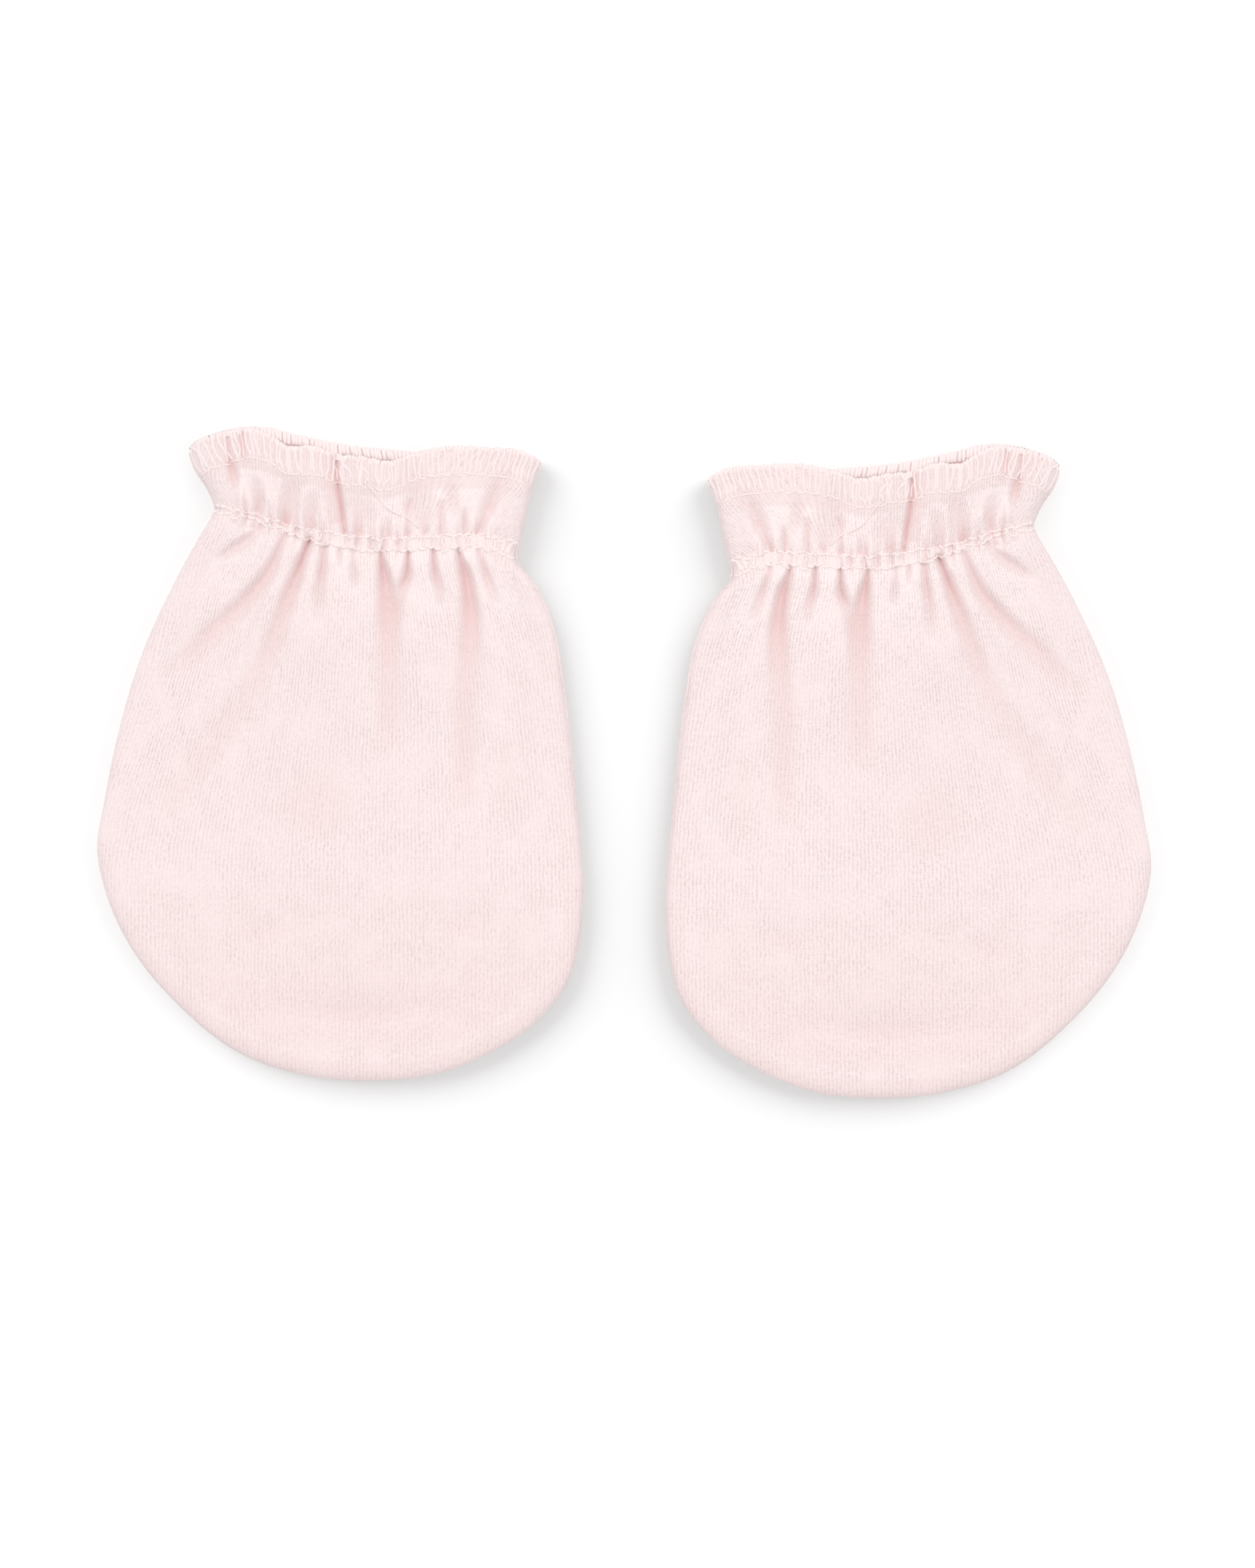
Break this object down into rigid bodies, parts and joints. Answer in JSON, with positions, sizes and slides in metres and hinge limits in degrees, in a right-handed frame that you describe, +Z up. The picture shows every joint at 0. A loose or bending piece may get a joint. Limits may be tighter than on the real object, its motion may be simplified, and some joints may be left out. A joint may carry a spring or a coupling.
{
  "type": "pair of baby mittens",
  "caption": "Pair of thumbless newborn mittens in plain jersey, gathered at the wrist into a short overlocked frill, laid flat side by side.",
  "frame": {"origin": "centre of the pair's box, on the surface that the mittens lie on", "axes": "+X from the left mitten to the right one, +Y from the fingertips to the frills, +Z up from the surface"},
  "size_m": [0.173, 0.1104, 0.0063],
  "materials": {
    "jersey": "matt"
  },
  "bodies": {
    "root": {"left_front_panel": "jersey", "left_back_panel": "jersey", "right_front_panel": "jersey", "right_back_panel": "jersey"}
  },
  "joints": []
}
